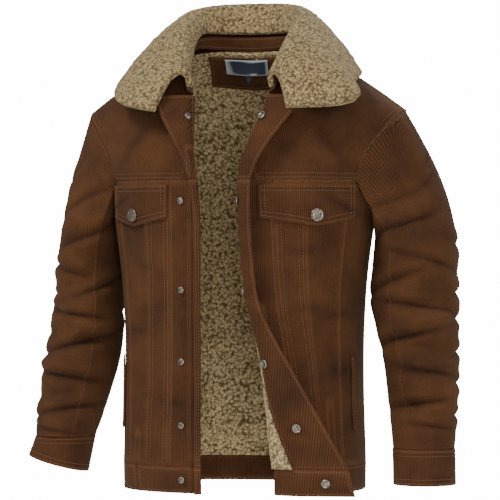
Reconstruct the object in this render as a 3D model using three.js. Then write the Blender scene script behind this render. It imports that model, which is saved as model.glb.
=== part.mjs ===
// A corduroy trucker jacket with a sherpa lining and collar, worn open and filled out.
// Millimetres. x runs to the wearer's left, y to the back, z up.
// The origin is the middle of the neck, level with the high points of the shoulders.

import * as THREE from 'three';
import { mergeVertices } from 'three/addons/utils/BufferGeometryUtils.js';

// Thickness of the cloths and the gap that sewn pieces keep
const CORD = 2;
const PILE = 6;
const COLLAR_PILE = 8;
const GAP = 0.3;
const FACING_START = CORD + GAP;
const BAND_WALL = 5;

// Heights of the main lines of the body
const HEM = -655;
const BAND_TOP = -616;
const YOKE = -198;
const ARMPIT = -245;
const SHOULDER_TIP = { x: 242, y: 22, z: -92 };
const NECK_SIDE = { x: 80, y: 12, z: 4 };

// Torso rings: half width, reach to the front, reach to the back
const TORSO = [
  { z: -660, half: 181, front: 138, back: 128 },
  { z: -616, half: 182, front: 142, back: 130 },
  { z: -520, half: 179, front: 145, back: 128 },
  { z: -430, half: 179, front: 148, back: 130 },
  { z: -330, half: 185, front: 152, back: 136 },
  { z: -245, half: 197, front: 150, back: 140 },
];
const ROUNDNESS = 2.35;

// Open edge of the wearer's left front: where the cloth rolls outward and where it ends
const LEFT_OPENING = [
  { z: -660, rollX: 84, edgeX: 189, edgeY: -132 },
  { z: -616, rollX: 78, edgeX: 180, edgeY: -141 },
  { z: -560, rollX: 70, edgeX: 150, edgeY: -154 },
  { z: -500, rollX: 64, edgeX: 118, edgeY: -163 },
  { z: -440, rollX: 54, edgeX: 84, edgeY: -168 },
  { z: -385, rollX: 42, edgeX: 54, edgeY: -170 },
  { z: -330, rollX: 36, edgeX: 46, edgeY: -170 },
  { z: -225, rollX: 29, edgeX: 38, edgeY: -166 },
  { z: -190, rollX: 29, edgeX: 42, edgeY: -163 },
  { z: -150, rollX: 35, edgeX: 60, edgeY: -154 },
  { z: -110, rollX: 46, edgeX: 90, edgeY: -139 },
  { z: -80, rollX: 56, edgeX: 108, edgeY: -124 },
];

// Open edge of the wearer's right front: straight below, turned back at the top
const RIGHT_OPENING = [
  { z: -660, rollX: 52, edgeX: 45, edgeY: -147 },
  { z: -330, rollX: 50, edgeX: 43, edgeY: -160 },
  { z: -240, rollX: 50, edgeX: 44, edgeY: -160 },
  { z: -198, rollX: 51, edgeX: 50, edgeY: -162 },
  { z: -150, rollX: 54, edgeX: 70, edgeY: -155 },
  { z: -110, rollX: 56, edgeX: 96, edgeY: -139 },
  { z: -80, rollX: 60, edgeX: 108, edgeY: -124 },
];

// Small helpers for points, tables and curves
const V = (x, y, z) => new THREE.Vector3(x, y, z);
const lerp = (a, b, t) => a + (b - a) * t;
const clamp = (t) => Math.min(1, Math.max(0, t));
const smooth = (t) => clamp(t) * clamp(t) * (3 - 2 * clamp(t));
const bump = (t) => (Math.abs(t) < 1 ? (1 - t * t) ** 2 : 0);
const mix = (p, q, t) => p.clone().lerp(q, t);
const radians = (degrees) => (degrees * Math.PI) / 180;

// The value of one column of a table at a place between its rows, on a smooth curve
function column(table, key, name, at) {
  const last = table.length - 1;
  let i = 0;
  while (i < last - 1 && at > table[i + 1][key]) i += 1;
  const [before, a, b, after] = [i - 1, i, i + 1, i + 2].map((k) => table[Math.min(last, Math.max(0, k))]);
  const span = b[key] - a[key];
  const t = clamp((at - a[key]) / span);
  const slopeAt = (p, q) => (q[key] === p[key] ? 0 : (q[name] - p[name]) / (q[key] - p[key]));
  const slopeA = i > 0 ? slopeAt(before, b) : slopeAt(a, b);
  const slopeB = i + 2 <= last ? slopeAt(a, after) : slopeAt(a, b);
  const t2 = t * t;
  const t3 = t2 * t;
  return (2 * t3 - 3 * t2 + 1) * a[name] + (t3 - 2 * t2 + t) * span * slopeA
    + (3 * t2 - 2 * t3) * b[name] + (t3 - t2) * span * slopeB;
}

function bezier(p0, p1, p2, p3, t) {
  const s = 1 - t;
  return p0.clone().multiplyScalar(s * s * s)
    .addScaledVector(p1, 3 * s * s * t)
    .addScaledVector(p2, 3 * s * t * t)
    .addScaledVector(p3, t * t * t);
}

// Even steps from a to b, both ends included
const steps = (a, b, count) => Array.from({ length: count + 1 }, (_, i) => lerp(a, b, i / count));

// Samples a surface on a grid of places and keeps the outward direction at each one
const NUDGE = 1e-3;
function sample(surface, us, vs, flip = false) {
  const points = [];
  const outs = [];
  for (const u of us) {
    const lineOfPoints = [];
    const lineOfOuts = [];
    for (const v of vs) {
      const u0 = Math.max(us[0], u - NUDGE);
      const u1 = Math.min(us[us.length - 1], u + NUDGE);
      const v0 = Math.max(vs[0], v - NUDGE);
      const v1 = Math.min(vs[vs.length - 1], v + NUDGE);
      const along = surface(u1, v).sub(surface(u0, v));
      const across = surface(u, v1).sub(surface(u, v0));
      const out = along.cross(across).normalize();
      lineOfPoints.push(surface(u, v));
      lineOfOuts.push(flip ? out.negate() : out);
    }
    points.push(lineOfPoints);
    outs.push(lineOfOuts);
  }
  return { points, outs };
}

// A part of a sampled grid, from one column and row to another
function crop(grid, c0, c1, r0, r1) {
  const cut = (lines) => lines.slice(c0, c1 + 1).map((line) => line.slice(r0, r1 + 1));
  return { points: cut(grid.points), outs: cut(grid.outs) };
}

// Sets the edge lines of a grid back along the cloth, so that sewn pieces keep their gap
function inset(grid, sides) {
  const points = grid.points.map((line) => line.map((p) => p.clone()));
  const lastColumn = points.length - 1;
  const lastRow = points[0].length - 1;
  const pull = (p, q, by) => p.addScaledVector(q.clone().sub(p).normalize(), by);
  const rows = points[0].map((_, r) => r);
  if (sides.start) rows.forEach((r) => pull(points[0][r], grid.points[1][r], sides.start));
  if (sides.end) {
    rows.forEach((r) => pull(points[lastColumn][r], grid.points[lastColumn - 1][r], sides.end));
  }
  if (sides.low) points.forEach((line, c) => pull(line[0], grid.points[c][1], sides.low));
  if (sides.high) {
    points.forEach((line, c) => pull(line[lastRow], grid.points[c][lastRow - 1], sides.high));
  }
  return { points, outs: grid.outs };
}

// A closed wall over a grid, between two distances measured outward from it.
// A ring grid joins its last column to its first one.
function wall(grid, inner, outer, { ring = false } = {}) {
  const columns = grid.points.length;
  const rows = grid.points[0].length;
  const positions = [];
  const at = (distance, c, r) => {
    const reach = typeof distance === 'function' ? distance(c, r) : distance;
    return grid.points[c][r].clone().addScaledVector(grid.outs[c][r], reach);
  };
  for (const distance of [outer, inner]) {
    for (let c = 0; c < columns; c += 1) {
      for (let r = 0; r < rows; r += 1) positions.push(...at(distance, c, r).toArray());
    }
  }
  const id = (layer, c, r) => layer * columns * rows + (c % columns) * rows + r;
  const faces = [];
  const quad = (a, b, c, d) => faces.push(a, b, c, a, c, d);
  const lastSpan = ring ? columns : columns - 1;
  for (let c = 0; c < lastSpan; c += 1) {
    for (let r = 0; r < rows - 1; r += 1) {
      quad(id(0, c, r), id(0, c + 1, r), id(0, c + 1, r + 1), id(0, c, r + 1));
      quad(id(1, c, r), id(1, c, r + 1), id(1, c + 1, r + 1), id(1, c + 1, r));
    }
    quad(id(0, c, 0), id(1, c, 0), id(1, c + 1, 0), id(0, c + 1, 0));
    quad(id(0, c, rows - 1), id(0, c + 1, rows - 1), id(1, c + 1, rows - 1), id(1, c, rows - 1));
  }
  if (!ring) {
    for (let r = 0; r < rows - 1; r += 1) {
      quad(id(0, 0, r), id(0, 0, r + 1), id(1, 0, r + 1), id(1, 0, r));
      const end = columns - 1;
      quad(id(0, end, r), id(1, end, r), id(1, end, r + 1), id(0, end, r + 1));
    }
  }
  const geometry = new THREE.BufferGeometry();
  geometry.setAttribute('position', new THREE.Float32BufferAttribute(positions, 3));
  geometry.setIndex(faces);
  return geometry;
}

// The body below the yoke seams: a rounded ring at each height.
// An angle of 0 is the middle front or back, 90 the side seam. side is 1 for the wearer's left.
const CORNER_ANGLE = 64;
const UNDERARM_DROP = 50;
function ringPoint(side, face, angle, z) {
  const at = Math.max(z, TORSO[0].z);
  const half = column(TORSO, 'z', 'half', at);
  const reach = column(TORSO, 'z', face, at);
  const power = 2 / ROUNDNESS;
  const a = radians(angle);
  const x = side * half * Math.max(0, Math.sin(a)) ** power;
  const y = reach * Math.max(0, Math.cos(a)) ** power;
  return V(x, face === 'front' ? -y : y, z);
}

// The angle at which the ring has a wanted distance from the middle
function ringAngle(x, z) {
  const half = column(TORSO, 'z', 'half', z);
  return (Math.asin(clamp(x / half) ** (ROUNDNESS / 2)) * 180) / Math.PI;
}

// The top of the panels below the yoke: the yoke seam, then the lower armhole
function panelTop(angle) {
  const t = clamp((angle - CORNER_ANGLE) / (90 - CORNER_ANGLE));
  return YOKE - UNDERARM_DROP * Math.sin((t * Math.PI) / 2);
}

const opening = (side) => (side > 0 ? LEFT_OPENING : RIGHT_OPENING);
const rollAngle = (side, z) => ringAngle(column(opening(side), 'z', 'rollX', z), Math.min(z, ARMPIT));

// Seams of the front, as a part of the way from the roll of the edge to the side seam
const SEAMS = { placket: 0.13, inner: 0.3, outer: 0.6 };

// The two long seams run closer together towards the waistband
const LEAN = { inner: 0.07, outer: 0.04, reach: 0.3 };
function seamLean(u, v) {
  const inner = LEAN.inner * bump((u - SEAMS.inner) / LEAN.reach);
  const outer = LEAN.outer * bump((u - SEAMS.outer) / LEAN.reach);
  return (1 - v) * (inner - outer);
}

function frontPanel(side) {
  return (u, v) => {
    const rough = lerp(BAND_TOP, YOKE, v);
    const angle = lerp(rollAngle(side, rough), 90, u + seamLean(u, v));
    const z = lerp(BAND_TOP, panelTop(angle), v);
    return ringPoint(side, 'front', angle, z);
  };
}

function backPanel(u, v) {
  const angle = Math.abs(lerp(-90, 90, u));
  const side = u < 0.5 ? -1 : 1;
  const z = lerp(BAND_TOP, panelTop(angle), v);
  return ringPoint(side, 'back', angle, z);
}

// The line where a yoke ends above: neckline, then shoulder seam to the tip
const NECK_SHARE = 0.36;
const FRONT_NECK = { x: 58, y: -106, z: -74 };
const BACK_NECK_BLEND = 0.62;
const BACK_NECK_STEEP = 0.85;
const BACK_NECK = { y: 74, z: 2 };
function yokeTop(side, face, s) {
  const neckSide = V(NECK_SIDE.x, NECK_SIDE.y, NECK_SIDE.z);
  let p;
  if (s >= NECK_SHARE) {
    const t = (s - NECK_SHARE) / (1 - NECK_SHARE);
    p = mix(neckSide, V(SHOULDER_TIP.x, SHOULDER_TIP.y, SHOULDER_TIP.z), t);
    p.z += 9 * Math.sin(Math.PI * t);
  } else {
    const t = s / NECK_SHARE;
    p = face === 'front'
      ? bezier(V(FRONT_NECK.x, FRONT_NECK.y, FRONT_NECK.z), V(72, -88, -46), V(82, -30, -8), neckSide, t)
      : bezier(V(0, BACK_NECK.y, BACK_NECK.z), V(34, BACK_NECK.y, BACK_NECK.z), V(70, 46, 4), neckSide, t);
  }
  return V(side * p.x, p.y, p.z);
}

// A yoke: columns that rise from the yoke seam and lean over to the shoulder
function yoke(side, face) {
  return (s, r) => {
    const first = face === 'front' ? rollAngle(side, YOKE) : 0;
    const angle = lerp(first, CORNER_ANGLE, s);
    const base = ringPoint(side, face, angle, YOKE);
    const top = yokeTop(side, face, s);
    const rise = top.z - base.z;
    const away = face === 'front' ? -1 : 1;
    const lift = base.clone().add(V(side * 3 * s, away * 4, rise * 0.42));
    const neckPart = face === 'front'
      ? 1 - smooth(s / NECK_SHARE)
      : (1 - smooth(s / BACK_NECK_BLEND)) * BACK_NECK_STEEP;
    const over = V(-side * 6 * neckPart * s, away * lerp(62, 16, neckPart), lerp(-2, -40, neckPart));
    const lean = top.clone().add(over);
    const p = bezier(base, lift, lean, top, r);
    if (face === 'front') {
      const z = p.z;
      const rollX = side * column(opening(side), 'z', 'rollX', z);
      p.x += (rollX - p.x) * (1 - smooth(s * 2.2)) * smooth(r * 6) * (1 - r);
    }
    return p;
  };
}

// The strip of a front beyond the roll: it turns outward and ends at the front edge
const ROLL_RADIUS = 9;
function turnBack(side, z, base, tangent, q) {
  const table = opening(side);
  const edge = V(side * column(table, 'z', 'edgeX', z), column(table, 'z', 'edgeY', z), z);
  const width = edge.distanceTo(base);
  const reach = Math.max(ROLL_RADIUS, width * 0.12);
  const first = base.clone().addScaledVector(tangent, reach * 1.4);
  const ahead = edge.clone().addScaledVector(V(-side, -0.16, 0), Math.max(width * 0.75, ROLL_RADIUS));
  return bezier(base, first, ahead, edge, q);
}

// How far along the turned strip a place lies; the facing begins at FACING_AT
const FACING_AT = 0.4;
const FACING_WIDTH = 46;
function turnShare(width, t) {
  const split = Math.min(0.6, Math.max(0.12, 1 - FACING_WIDTH / width));
  return t < FACING_AT ? (t / FACING_AT) * split : lerp(split, 1, (t - FACING_AT) / (1 - FACING_AT));
}

// A front with its turned strip: c runs from -1 at the edge over 0 at the roll to 1 at the side
function withTurn(side, surface) {
  return (c, v) => {
    if (c >= 0) return surface(c, v);
    const base = surface(0, v);
    const tangent = base.clone().sub(surface(0.02, v)).setZ(0).normalize();
    const edge = turnBack(side, base.z, base, tangent, 1);
    return turnBack(side, base.z, base, tangent, turnShare(edge.distanceTo(base), -c));
  };
}

// The waistband ring, with the same columns as the panels above it
function bandFront(side) {
  return (u, v) => {
    const angle = lerp(rollAngle(side, BAND_TOP), 90, u + seamLean(u, 0));
    return ringPoint(side, 'front', angle, lerp(HEM, BAND_TOP, v));
  };
}
function bandBack(u, v) {
  const side = u < 0.5 ? -1 : 1;
  return ringPoint(side, 'back', Math.abs(lerp(-90, 90, u)), lerp(HEM, BAND_TOP, v));
}

// Columns and rows that all layers of a front share
const TURN_COLUMNS = [-1, -0.8, -0.6, -FACING_AT, -0.25, -0.12];
const ROLL_COLUMN = TURN_COLUMNS.length;
function frontColumns(side) {
  const first = rollAngle(side, YOKE);
  const corner = (CORNER_ANGLE - first) / (90 - first);
  const panel = [0, 0.06, SEAMS.placket, NECK_SHARE * corner, SEAMS.inner, 0.4, 0.5, SEAMS.outer, corner];
  return {
    lower: [...TURN_COLUMNS, ...panel, 0.77, 0.85, 0.93, 1],
    upper: [...TURN_COLUMNS, ...panel.map((u) => u / corner)],
  };
}
const FACING_COLUMN = TURN_COLUMNS.indexOf(-FACING_AT);
const PLACKET_COLUMN = ROLL_COLUMN + 2;
const INNER_COLUMN = ROLL_COLUMN + 4;
const OUTER_COLUMN = ROLL_COLUMN + 7;
const CORNER_COLUMN = ROLL_COLUMN + 8;
const PANEL_ROWS = steps(0, 1, 9);
const YOKE_ROWS = [0, 0.16, 0.33, 0.5, 0.68, 0.84, 1];

const parts = new THREE.Group();
const SHELL = new THREE.MeshStandardMaterial({ color: 0x5a3a22, roughness: 0.9, metalness: 0 });
const SHERPA = new THREE.MeshStandardMaterial({ color: 0x9c865f, roughness: 1, metalness: 0 });
const METAL = new THREE.MeshStandardMaterial({ color: 0xa9a49a, roughness: 0.35, metalness: 0.9 });
const LABEL = new THREE.MeshStandardMaterial({ color: 0x1f2733, roughness: 0.8, metalness: 0 });

// Turns a closed geometry the right way out
function facingOut(geometry) {
  const p = geometry.getAttribute('position');
  const index = geometry.getIndex().array;
  const [a, b, c] = [V(), V(), V()];
  let volume = 0;
  for (let i = 0; i < index.length; i += 3) {
    a.fromBufferAttribute(p, index[i]);
    b.fromBufferAttribute(p, index[i + 1]);
    c.fromBufferAttribute(p, index[i + 2]);
    volume += a.dot(b.cross(c));
  }
  if (volume < 0) {
    for (let i = 0; i < index.length; i += 3) [index[i + 1], index[i + 2]] = [index[i + 2], index[i + 1]];
  }
  return geometry;
}

function add(name, geometry, material) {
  const mesh = new THREE.Mesh(facingOut(geometry), material);
  mesh.name = name;
  parts.add(mesh);
}

// Fronts: shell pieces, facing and lining share one grid
const SEAM = GAP / 2;
const armhole = {};
const cloth = {};
function makeFront(side) {
  const word = side > 0 ? 'left' : 'right';
  const columns = frontColumns(side);
  const flip = side < 0;
  const lower = sample(withTurn(side, frontPanel(side)), columns.lower, PANEL_ROWS, flip);
  const upper = sample(withTurn(side, yoke(side, 'front')), columns.upper, YOKE_ROWS, flip);
  const band = sample(withTurn(side, bandFront(side)), columns.lower, [0, 1], flip);
  const lastRow = PANEL_ROWS.length - 1;
  const lastYokeRow = YOKE_ROWS.length - 1;
  const lastColumn = columns.lower.length - 1;
  upper.points.forEach((line, c) => {
    line[0] = lower.points[c][lastRow].clone();
    upper.outs[c][0] = lower.outs[c][lastRow];
  });
  cloth[word] = { lower, upper, band };
  armhole[word] = {
    frontLower: [lower, CORNER_COLUMN, lastColumn, lastRow],
    frontUpper: [upper, CORNER_COLUMN],
  };
  return () => {
    const piece = (name, grid, sides, inner = -CORD, outer = 0, material = SHELL) => (
      add(`${name}_${word}`, wall(inset(grid, sides), inner, outer), material));
    const both = { start: SEAM, end: SEAM, low: SEAM, high: SEAM };
    piece('front_placket', crop(lower, 0, PLACKET_COLUMN, 0, lastRow), both);
    piece('front_inner_panel', crop(lower, PLACKET_COLUMN, INNER_COLUMN, 0, lastRow), both);
    piece('front_middle_panel', crop(lower, INNER_COLUMN, OUTER_COLUMN, 0, lastRow), both);
    piece('front_side_panel', crop(lower, OUTER_COLUMN, lastColumn, 0, lastRow), { ...both, high: 0.8 });
    piece('front_yoke', crop(upper, 0, CORNER_COLUMN, 0, lastYokeRow), { ...both, end: 0.6 });
    piece('waistband_front', band, both, -BAND_WALL, 0);
    const facingOf = (name, grid) => piece(name, grid, both, -FACING_START - CORD, -FACING_START);
    facingOf('facing', crop(lower, 0, FACING_COLUMN, 0, lastRow));
    facingOf('lapel_facing', crop(upper, 0, ROLL_COLUMN, 0, lastYokeRow));
    const liningOf = (name, grid, sides) => (
      piece(name, grid, sides, -FACING_START - PILE, -FACING_START, SHERPA));
    const belowYoke = crop(lower, FACING_COLUMN, lastColumn, 0, lastRow);
    liningOf('lining_front', belowYoke, { start: SEAM, end: SEAM, low: 1, high: 0.6 });
    const onYoke = crop(upper, ROLL_COLUMN, CORNER_COLUMN, 0, lastYokeRow);
    liningOf('lining_yoke', onYoke, { start: 0.8, end: 0.6, low: SEAM, high: 0.5 });
  };
}

// The back, one piece across
const BACK_HALF = [0, 0.2, 0.4, 0.55, CORNER_ANGLE / 90, 0.8, 0.88, 0.95, 1];
const BACK_CORNER = 4;
const mirrored = (half) => [...half.slice(1).reverse().map((u) => -u), ...half];
const backLower = sample(backPanel, mirrored(BACK_HALF).map((u) => (u + 1) / 2), PANEL_ROWS, true);
const backUpper = sample(
  (u, r) => yoke(u < 0 ? -1 : 1, 'back')(Math.abs(u), r),
  mirrored(BACK_HALF.slice(0, BACK_CORNER + 1).map((u) => u / BACK_HALF[BACK_CORNER])),
  YOKE_ROWS,
  true,
);
const backBand = sample(bandBack, mirrored(BACK_HALF).map((u) => (u + 1) / 2), [0, 1], true);
const backSide = BACK_HALF.length - 1;
const upperShift = backSide - BACK_CORNER;
backUpper.points.forEach((line, c) => {
  line[0] = backLower.points[c + upperShift][PANEL_ROWS.length - 1].clone();
  backUpper.outs[c][0] = backLower.outs[c + upperShift][PANEL_ROWS.length - 1];
});

// The armhole of one side as a ring of grid places: underarm, front, shoulder tip, back
function armholeRing(side) {
  const word = side > 0 ? 'left' : 'right';
  const [lower, corner, last, lastRow] = armhole[word].frontLower;
  const [upper] = armhole[word].frontUpper;
  const ring = [];
  for (let c = last; c >= corner; c -= 1) ring.push([[lower, c, lastRow]]);
  ring[ring.length - 1].push([upper, corner, 0]);
  for (let r = 1; r < YOKE_ROWS.length; r += 1) ring.push([[upper, corner, r]]);
  const backEdge = side > 0 ? backUpper.points.length - 1 : 0;
  ring[ring.length - 1].push([backUpper, backEdge, YOKE_ROWS.length - 1]);
  for (let r = YOKE_ROWS.length - 2; r >= 1; r -= 1) ring.push([[backUpper, backEdge, r]]);
  for (let k = BACK_CORNER; k < backSide; k += 1) ring.push([[backLower, backSide + side * k, lastRow]]);
  ring[0].push([backLower, backSide + side * backSide, lastRow]);
  ring[ring.length - (backSide - BACK_CORNER)].push([backUpper, backEdge, 0]);
  return ring;
}

// Sleeve rings below the cap: middle, half width across and half depth
const SLEEVES = {
  right: [
    { z: -310, x: 237, y: 12, wide: 46, deep: 76 },
    { z: -375, x: 241, y: 2, wide: 52, deep: 69 },
    { z: -450, x: 245, y: -10, wide: 57, deep: 63 },
    { z: -525, x: 258, y: -25, wide: 52, deep: 57 },
    { z: -578, x: 268, y: -34, wide: 45, deep: 50 },
  ],
  left: [
    { z: -310, x: 256, y: 12, wide: 64, deep: 77 },
    { z: -375, x: 255, y: 0, wide: 65, deep: 70 },
    { z: -450, x: 266, y: -12, wide: 57, deep: 63 },
    { z: -525, x: 272, y: -26, wide: 51, deep: 57 },
    { z: -590, x: 275, y: -37, wide: 46, deep: 50 },
  ],
};
const CUFFS = {
  right: {
    top: -578.6, bottom: -619, x: 268, endX: 277, y: -35, endY: -42, wide: 44, deep: 46, tilt: 0.28,
  },
  left: {
    top: -590.6, bottom: -643, x: 275, endX: 277, y: -38, endY: -45, wide: 45, deep: 47, tilt: 0,
  },
};

// Folds of the sleeves. turn: 0 faces the body, 90 the front, 180 outward, 270 the back
const FOLDS = {
  right: [
    { z: -262, turn: 110, depth: -13, tall: 22, wide: 80, slant: 0.35 },
    { z: -318, turn: 140, depth: 9, tall: 22, wide: 80, slant: -0.3 },
    { z: -352, turn: 100, depth: -14, tall: 18, wide: 85, slant: -0.35 },
    { z: -396, turn: 90, depth: 10, tall: 20, wide: 90, slant: 0.3 },
    { z: -430, turn: 80, depth: -16, tall: 18, wide: 95, slant: 0.3 },
    { z: -470, turn: 120, depth: 9, tall: 18, wide: 90, slant: -0.25 },
    { z: -508, turn: 90, depth: -14, tall: 16, wide: 95, slant: -0.25 },
    { z: -548, turn: 110, depth: 8, tall: 16, wide: 95, slant: 0.2 },
    { z: -360, turn: 275, depth: -13, tall: 22, wide: 70, slant: 0.3 },
    { z: -450, turn: 265, depth: -14, tall: 20, wide: 75, slant: -0.3 },
    { z: -530, turn: 270, depth: -12, tall: 18, wide: 75, slant: 0.25 },
  ],
  left: [
    { z: -282, turn: 85, depth: -17, tall: 22, wide: 85, slant: 0.5 },
    { z: -332, turn: 110, depth: 10, tall: 24, wide: 85, slant: 0.35 },
    { z: -366, turn: 95, depth: -16, tall: 18, wide: 90, slant: -0.3 },
    { z: -408, turn: 110, depth: 10, tall: 20, wide: 90, slant: 0.3 },
    { z: -446, turn: 90, depth: -16, tall: 18, wide: 95, slant: 0.3 },
    { z: -486, turn: 120, depth: 9, tall: 18, wide: 90, slant: -0.25 },
    { z: -522, turn: 90, depth: -14, tall: 16, wide: 95, slant: 0.2 },
    { z: -560, turn: 110, depth: 8, tall: 15, wide: 95, slant: -0.2 },
    { z: -350, turn: 270, depth: -14, tall: 22, wide: 70, slant: -0.3 },
    { z: -440, turn: 275, depth: -13, tall: 20, wide: 75, slant: 0.3 },
    { z: -525, turn: 265, depth: -12, tall: 18, wide: 75, slant: -0.25 },
  ],
};
const angleApart = (a, b) => ((a - b + 540) % 360) - 180;
function foldDepth(word, z, turn) {
  return FOLDS[word].reduce((sum, fold) => {
    const apart = angleApart(turn, fold.turn);
    return sum + fold.depth * bump(apart / fold.wide) * bump((z - fold.z - fold.slant * apart) / fold.tall);
  }, 0);
}

function sleeveRingPoint(word, side, z, turn, row) {
  const a = radians(turn);
  const reach = z < -270 ? foldDepth(word, z, turn) : 0;
  const x = row.x - (row.wide + reach) * Math.cos(a);
  return V(side * x, row.y - (row.deep + reach) * Math.sin(a), z);
}

// How far a cap stands outward where it leaves the shoulder tip
const CAP_LEAVE = { right: 0.27, left: 0.56 };
const CAP_STEPS = [0, 0.14, 0.32, 0.52, 0.76];
const SLEEVE_RING_GAP = 21;
const UNDER_TURN = 62;
function makeSleeve(side) {
  const word = side > 0 ? 'left' : 'right';
  const ring = armholeRing(side);
  const starts = ring.map(([[grid, c, r]]) => grid.points[c][r].clone());
  const lengths = starts.map((p, k) => p.distanceTo(starts[(k + 1) % starts.length]));
  const tip = ring.findIndex((members) => members.length > 1 && members[1][0] === backUpper);
  const total = (from, to) => lengths.slice(from, to).reduce((sum, l) => sum + l, 0);
  const turns = starts.map((_, k) => (k <= tip
    ? (180 * total(0, k)) / total(0, tip)
    : 180 + (180 * total(tip, k)) / total(tip, starts.length)));
  const table = SLEEVES[word];
  const first = table[0];
  const bottom = table[table.length - 1].z;
  const ringCount = Math.round((first.z - bottom) / SLEEVE_RING_GAP);
  const rising = [...table].reverse();
  const names = ['x', 'y', 'wide', 'deep'];
  const rowAt = (z) => Object.fromEntries(names.map((k) => [k, column(rising, 'z', k, z)]));
  const surfacePoint = (k, step) => {
    const turn = turns[k];
    if (step >= 1) {
      const z = lerp(first.z, bottom, (step - 1) / ringCount);
      return sleeveRingPoint(word, side, z, turn, rowAt(z));
    }
    const start = starts[k];
    const end = sleeveRingPoint(word, side, first.z, turn, rowAt(first.z));
    const length = start.distanceTo(end);
    const high = Math.sin(radians(turn / 2)) ** 2;
    const leave = V(side * lerp(0.3, CAP_LEAVE[word], high), 0, -0.95).normalize();
    const p = bezier(
      start,
      start.clone().addScaledVector(leave, length * 0.36),
      end.clone().add(V(0, 0, length * 0.36)),
      end,
      step,
    );
    return p;
  };
  const places = [...CAP_STEPS, ...steps(1, 1 + ringCount, ringCount)];
  const count = starts.length;
  const grid = { points: [], outs: [] };
  for (let k = 0; k < count; k += 1) {
    grid.points.push(places.map((step) => surfacePoint(k, step)));
    grid.outs.push([]);
  }
  for (let k = 0; k < count; k += 1) {
    places.forEach((step, i) => {
      const before = grid.points[(k + count - 1) % count];
      const after = grid.points[(k + 1) % count];
      const around = after[i].clone().sub(before[i]);
      const line = grid.points[k];
      const next = line[Math.min(i + 1, places.length - 1)];
      const down = next.clone().sub(line[Math.max(i - 1, 0)]);
      grid.outs[k].push(around.cross(down).normalize().multiplyScalar(-side));
    });
  }
  ring.forEach((members, k) => {
    const out = grid.outs[k][0].clone().add(members[0][0].outs[members[0][1]][members[0][2]]).normalize();
    grid.outs[k][0] = out;
    members.forEach(([torso, c, r]) => {
      torso.outs[c][r] = out;
    });
  });
  return () => {
    const before = turns.findIndex((turn) => turn > UNDER_TURN);
    const after = turns.findIndex((turn) => turn > 360 - UNDER_TURN);
    const sides = { start: SEAM, end: SEAM, low: 1, high: SEAM };
    const half = (name, from, to) => {
      const order = Array.from({ length: to - from + 1 }, (_, i) => (from + i) % count);
      const share = { points: order.map((k) => grid.points[k]), outs: order.map((k) => grid.outs[k]) };
      add(`${name}_${word}`, wall(inset(share, sides), -CORD, 0), SHELL);
    };
    half('sleeve_top', before, after);
    half('sleeve_under', after, before + count);
    makeCuff(side, word);
  };
}

// A cuff: a short ring that stands a little proud of the gathered sleeve end
const CUFF_SIDES = 24;
function makeCuff(side, word) {
  const cuff = CUFFS[word];
  const grid = { points: [], outs: [] };
  for (let k = 0; k < CUFF_SIDES; k += 1) {
    const a = (k / CUFF_SIDES) * 2 * Math.PI;
    const line = [0, 0.5, 1].map((t) => {
      const reach = -Math.cos(a) * cuff.wide;
      const lean = cuff.tilt * reach * t;
      return V(
        side * (lerp(cuff.x, cuff.endX, t) + reach),
        lerp(cuff.y, cuff.endY, t) - Math.sin(a) * cuff.deep,
        lerp(cuff.top, cuff.bottom, t) + lean,
      );
    });
    grid.points.push(line);
    grid.outs.push(line.map(() => V(-side * Math.cos(a), -Math.sin(a), 0)));
  }
  add(`cuff_${word}`, wall(grid, -CORD, 1.6, { ring: true }), SHELL);
}

// Collar stations from the wearer's right front end over the back to the left front end:
// the seam on the stand, the crest of the roll and the edge of the leaf
const COLLAR = [
  { s: -1, base: [-66, -112, -61], roll: [-68, -116, -46], edge: [-104, -146, -98] },
  { s: -0.8, base: [-74, -76, -25], roll: [-79, -76, -4], edge: [-149, -112, -84] },
  { s: -0.6, base: [-76, -28, 9], roll: [-84, -26, 30], edge: [-180, -54, -58] },
  { s: -0.4, base: [-72, 22, 27], roll: [-80, 26, 54], edge: [-168, 60, -30] },
  { s: -0.2, base: [-42, 62, 29], roll: [-46, 72, 65], edge: [-92, 124, -24] },
  { s: 0, base: [0, 74, 29], roll: [0, 84, 67], edge: [0, 134, -20] },
  { s: 0.2, base: [42, 62, 29], roll: [46, 72, 65], edge: [92, 124, -24] },
  { s: 0.4, base: [72, 22, 27], roll: [79, 26, 54], edge: [160, 60, -30] },
  { s: 0.6, base: [76, -28, 9], roll: [82, -26, 28], edge: [172, -63, -57] },
  { s: 0.8, base: [74, -76, -25], roll: [76, -78, -6], edge: [150, -123.5, -86.5] },
  { s: 1, base: [66, -112, -61], roll: [64, -118, -48], edge: [90, -152, -95] },
];
function collarPoint(kind, s) {
  const axis = (k) => column(COLLAR.map((row) => ({ s: row.s, at: row[kind][k] })), 's', 'at', s);
  return V(axis(0), axis(1), axis(2));
}
const LEAF_CROWN = 15;
const ROLL_HALF = 9;
function collarLine(s) {
  const base = collarPoint('base', s);
  const roll = collarPoint('roll', s);
  const edge = collarPoint('edge', s);
  const away = edge.clone().sub(roll).setZ(0).normalize();
  const middle = mix(roll, edge, 0.55).add(V(0, 0, LEAF_CROWN)).addScaledVector(away, 3);
  const low = roll.clone().lerp(base, 0.45).addScaledVector(away, -2);
  const fall = roll.clone().addScaledVector(away, ROLL_HALF * 2).add(V(0, 0, -3));
  const crest = roll.clone().addScaledVector(away, ROLL_HALF * 0.8).add(V(0, 0, 3));
  return new THREE.CatmullRomCurve3([base, low, roll, crest, fall, middle, edge], false, 'centripetal');
}
const collarSurface = (s, t) => collarLine(s).getPoint(t);

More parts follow.
